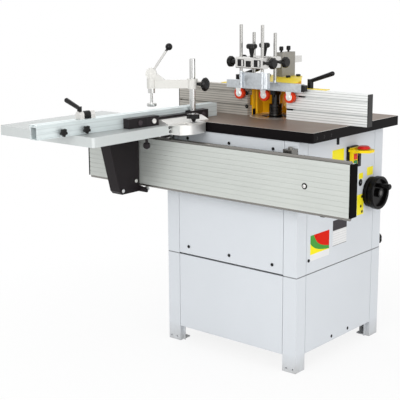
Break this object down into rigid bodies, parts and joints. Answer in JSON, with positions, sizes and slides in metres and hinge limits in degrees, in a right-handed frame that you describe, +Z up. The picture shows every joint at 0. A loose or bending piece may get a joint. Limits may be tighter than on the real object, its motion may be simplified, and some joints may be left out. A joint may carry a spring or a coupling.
{
  "type": "spindle moulder",
  "caption": "Floor-standing spindle moulder: table with a rising spindle, split fence with pressers, hood, sliding table with mitre fence and hold-down clamp.",
  "frame": {"origin": "middle of the four floor bolt holes, on the floor", "axes": "+X to the right along the fence, +Y to the back, +Z up along the spindle"},
  "size_m": [1.207, 1.2707, 1.214],
  "materials": {
    "cabinet_paint": "light grey powder coat",
    "black_screw": "blackened",
    "table_iron": "planed top, black painted sides",
    "insert_steel": "turned",
    "machined_steel": "ground",
    "casting": "painted casting",
    "spindle_black": "blackened",
    "pulley_aluminium": "turned",
    "belt_rubber": "matte",
    "black_plastic": "satin black",
    "switch_plastic": "yellow housing on a black base",
    "stop_plastic": "red, the flap yellow",
    "start_plastic": "green",
    "fence_aluminium": "extruded, anodised",
    "hood_paint": "yellow gloss paint",
    "bracket_paint": "grey",
    "bright_steel": "bright",
    "galvanised": "galvanised",
    "roller_red": "red tread on a white hub",
    "rail_aluminium": "extruded",
    "guide_bar": "ground bar",
    "black_paint": "satin black",
    "slide_aluminium": "planed, satin",
    "column_chrome": "polished",
    "clamp_paint": "off-white"
  },
  "bodies": {
    "frame": {"corner_posts": "cabinet_paint", "side_panels": "cabinet_paint", "front_cover": "cabinet_paint", "panel_screws": "black_screw", "table": "table_iron", "table_insert": "insert_steel", "lift_guides": "machined_steel", "handwheel_flange": "black_plastic", "switch_box": "switch_plastic", "rail": "rail_aluminium", "rail_bars": "guide_bar", "rail_end_caps": "black_plastic", "rail_brackets": "black_paint"},
    "rear_door": {"rear_door": "cabinet_paint"},
    "door_latch": {"door_latch": "black_plastic"},
    "carriage": {"quill_carriage": "casting", "spindle_bearings": "machined_steel", "motor": "casting", "drive_belt": "belt_rubber"},
    "spindle": {"spindle_shaft": "spindle_black", "spindle_rings": "spindle_black"},
    "motor_rotor": {"motor_pulley": "pulley_aluminium"},
    "lift_screw": {"lift_screw": "machined_steel"},
    "handwheel": {"handwheel_shaft": "machined_steel", "handwheel": "black_plastic"},
    "crank_grip": {"crank_grip": "black_plastic"},
    "start_button": {"start_button": "start_plastic"},
    "stop_button": {"stop_button": "stop_plastic"},
    "stop_flap": {"stop_flap": "stop_plastic"},
    "fence_carriage": {"hood": "hood_paint", "hood_cover": "hood_paint", "hood_knobs": "black_plastic", "presser_bracket": "bracket_paint"},
    "left_fence": {"left_fence": "fence_aluminium"},
    "right_fence": {"right_fence": "fence_aluminium"},
    "left_fence_lever": {"left_fence_lever": "black_plastic"},
    "right_fence_lever": {"right_fence_lever": "black_plastic"},
    "presser_arm": {"presser_arm": "bright_steel", "rod_blocks": "bright_steel", "presser_knobs": "black_plastic"},
    "front_presser": {"front_presser": "galvanised"},
    "roller_presser": {"roller_presser": "galvanised"},
    "roller_left": {"roller_left": "roller_red"},
    "roller_middle": {"roller_middle": "roller_red"},
    "roller_right": {"roller_right": "roller_red"},
    "sliding_table": {"sliding_table": "slide_aluminium", "support_arm": "black_paint", "guide_rollers": "machined_steel", "mitre_base": "slide_aluminium"},
    "mitre": {"mitre_head": "slide_aluminium", "carrier_bar": "black_paint", "mitre_fence": "fence_aluminium", "fence_knobs": "black_plastic"},
    "mitre_knob": {"mitre_knob": "black_plastic"},
    "flip_stop": {"flip_stop": "black_plastic"},
    "clamp_column": {"clamp_column": "column_chrome"},
    "clamp_arm": {"clamp_arm": "clamp_paint"},
    "clamp_lever": {"clamp_lever": "clamp_paint"},
    "clamp_plunger": {"clamp_plunger": "column_chrome"},
    "clamp_knob": {"clamp_knob": "black_plastic"}
  },
  "joints": [
    {"name": "rear_door_hinge", "type": "hinge", "parent": "frame", "child": "rear_door", "pos_m": [-0.296, 0.288, 0.595], "axis": [0, 0, 1], "range_deg": [0, 110]},
    {"name": "door_latch_turn", "type": "hinge", "parent": "rear_door", "child": "door_latch", "pos_m": [0.267, 0.29, 0.377], "axis": [0, 1, 0], "continuous": true},
    {"name": "handwheel_turn", "type": "hinge", "parent": "frame", "child": "handwheel", "pos_m": [0.32, 0.2, 0.585], "axis": [1, 0, 0], "range_deg": [-3610, 1090]},
    {"name": "spindle_lift", "type": "slide", "parent": "frame", "child": "carriage", "axis": [0, 0, 1], "range_m": [-0.06, 0.018]},
    {"name": "lift_screw_turn", "type": "hinge", "parent": "frame", "child": "lift_screw", "pos_m": [0.11, 0.2, 0.7], "axis": [0, 0, 1], "range_deg": [-1090, 3610]},
    {"name": "crank_grip_spin", "type": "hinge", "parent": "handwheel", "child": "crank_grip", "pos_m": [0.35, 0.1831, 0.61679], "axis": [1, 0, 0], "continuous": true},
    {"name": "motor_spin", "type": "hinge", "parent": "carriage", "child": "motor_rotor", "pos_m": [-0.165, 0, 0.6], "axis": [0, 0, 1], "continuous": true},
    {"name": "spindle_spin", "type": "hinge", "parent": "carriage", "child": "spindle", "pos_m": [0, 0, 0.7], "axis": [0, 0, 1], "continuous": true},
    {"name": "start_button_press", "type": "slide", "parent": "frame", "child": "start_button", "axis": [-1, 0, 0], "range_m": [0, 0.003], "stiffness_N_per_m": 400},
    {"name": "stop_button_press", "type": "slide", "parent": "frame", "child": "stop_button", "axis": [-1, 0, 0], "range_m": [0, 0.003], "stiffness_N_per_m": 400},
    {"name": "stop_flap_hinge", "type": "hinge", "parent": "frame", "child": "stop_flap", "pos_m": [0.332, 0.056, 0.765], "axis": [0, 1, 0], "range_deg": [0, 90]},
    {"name": "fence_slide", "type": "slide", "parent": "frame", "child": "fence_carriage", "axis": [0, 1, 0], "range_m": [-0.03, 0.03]},
    {"name": "left_fence_slide", "type": "slide", "parent": "fence_carriage", "child": "left_fence", "axis": [1, 0, 0], "range_m": [-0.05, 0.045]},
    {"name": "right_fence_slide", "type": "slide", "parent": "fence_carriage", "child": "right_fence", "axis": [1, 0, 0], "range_m": [-0.045, 0.05]},
    {"name": "left_fence_lever_turn", "type": "hinge", "parent": "fence_carriage", "child": "left_fence_lever", "pos_m": [-0.165, -0.015, 1], "axis": [0, 0, 1], "range_deg": [-60, 60]},
    {"name": "right_fence_lever_turn", "type": "hinge", "parent": "fence_carriage", "child": "right_fence_lever", "pos_m": [0.165, -0.015, 1], "axis": [0, 0, 1], "range_deg": [-60, 60]},
    {"name": "presser_arm_slide", "type": "slide", "parent": "fence_carriage", "child": "presser_arm", "axis": [0, 1, 0], "range_m": [-0.045, 0]},
    {"name": "front_presser_slide", "type": "slide", "parent": "presser_arm", "child": "front_presser", "axis": [0, 0, 1], "range_m": [-0.05, 0.014]},
    {"name": "roller_presser_slide", "type": "slide", "parent": "presser_arm", "child": "roller_presser", "axis": [0, 0, 1], "range_m": [-0.055, 0.03]},
    {"name": "roller_left_spin", "type": "hinge", "parent": "roller_presser", "child": "roller_left", "pos_m": [-0.115, -0.071, 0.955], "axis": [0, 1, 0], "continuous": true},
    {"name": "roller_middle_spin", "type": "hinge", "parent": "roller_presser", "child": "roller_middle", "pos_m": [0, -0.071, 0.955], "axis": [0, 1, 0], "continuous": true},
    {"name": "roller_right_spin", "type": "hinge", "parent": "roller_presser", "child": "roller_right", "pos_m": [0.115, -0.071, 0.955], "axis": [0, 1, 0], "continuous": true},
    {"name": "table_slide", "type": "slide", "parent": "frame", "child": "sliding_table", "axis": [1, 0, 0], "range_m": [-0.05, 0.7]},
    {"name": "mitre_turn", "type": "hinge", "parent": "sliding_table", "child": "mitre", "pos_m": [-0.187, -0.353, 0.872], "axis": [0, 0, 1], "range_deg": [-45, 30]},
    {"name": "mitre_knob_turn", "type": "hinge", "parent": "mitre", "child": "mitre_knob", "pos_m": [-0.10932, -0.34593, 0.89], "axis": [0, 0, 1], "continuous": true},
    {"name": "flip_stop_hinge", "type": "hinge", "parent": "mitre", "child": "flip_stop", "pos_m": [-0.24961, -0.74012, 0.933], "axis": [0.0837, 0.9965, 0], "range_deg": [0, 110]},
    {"name": "clamp_swing", "type": "hinge", "parent": "mitre", "child": "clamp_column", "pos_m": [-0.17723, -0.27254, 0.905], "axis": [0, 0, 1], "range_deg": [-75, 15]},
    {"name": "clamp_arm_slide", "type": "slide", "parent": "clamp_column", "child": "clamp_arm", "axis": [0, 0, 1], "range_m": [-0.03, 0.06]},
    {"name": "clamp_lever_turn", "type": "hinge", "parent": "clamp_arm", "child": "clamp_lever", "pos_m": [-0.29146, -0.36975, 1.04], "axis": [0.6481, -0.7615, 0], "range_deg": [0, 95]},
    {"name": "clamp_plunger_slide", "type": "slide", "parent": "clamp_arm", "child": "clamp_plunger", "axis": [0, 0, -1], "range_m": [0, 0.012]},
    {"name": "clamp_knob_turn", "type": "hinge", "parent": "clamp_arm", "child": "clamp_knob", "pos_m": [-0.13789, -0.26531, 1.002], "axis": [0.9836, 0.1805, 0], "continuous": true}
  ],
  "couplings": [
    {"joint": "handwheel_turn", "follows": "spindle_lift", "rad_per_m": 1047.2},
    {"joint": "lift_screw_turn", "follows": "spindle_lift", "rad_per_m": -1047.2},
    {"joint": "spindle_spin", "follows": "motor_spin", "ratio": 1.5556},
    {"joint": "clamp_plunger_slide", "follows": "clamp_lever_turn", "m_per_rad": 0.0072}
  ]
}
